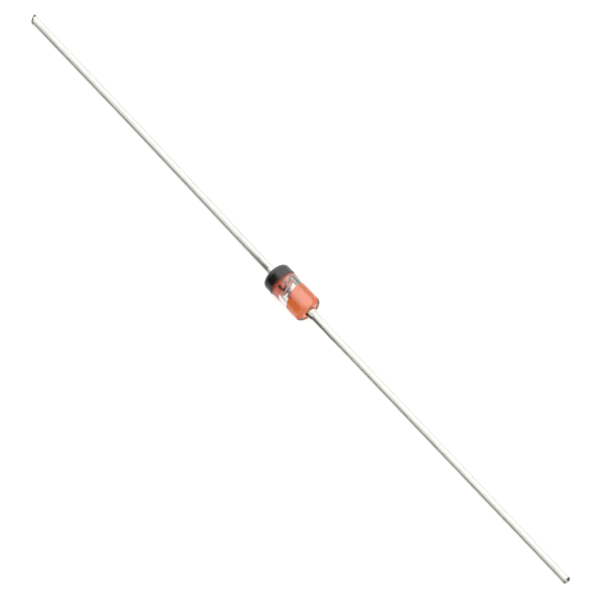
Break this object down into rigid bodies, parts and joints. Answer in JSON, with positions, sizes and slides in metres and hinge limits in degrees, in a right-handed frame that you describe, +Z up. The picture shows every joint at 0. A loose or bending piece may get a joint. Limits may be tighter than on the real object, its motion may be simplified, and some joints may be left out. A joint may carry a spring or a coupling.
{
  "type": "zener diode",
  "caption": "Axial zener diode: clear glass sleeve sealed onto two orange-red studs, black cathode band, tinned wire leads.",
  "frame": {"origin": "midway between the two lead tips, on the surface that the body lies on", "axes": "+X along the leads, from the banded cathode end to the anode end; +Z up; +Y completes the frame"},
  "size_m": [0.049, 0.0018, 0.0019],
  "materials": {
    "lead_metal": "satin",
    "stud_metal": "gloss",
    "silicon": "polished",
    "silver": "satin",
    "spring_metal": "satin",
    "clear_glass": "polished",
    "band_paint": "gloss"
  },
  "bodies": {
    "root": {"anode_lead": "lead_metal", "cathode_lead": "lead_metal", "anode_stud": "stud_metal", "cathode_stud": "stud_metal", "zener_die": "silicon", "die_button": "silver", "contact_spring": "spring_metal", "glass_sleeve": "clear_glass", "cathode_band": "band_paint"}
  },
  "joints": []
}
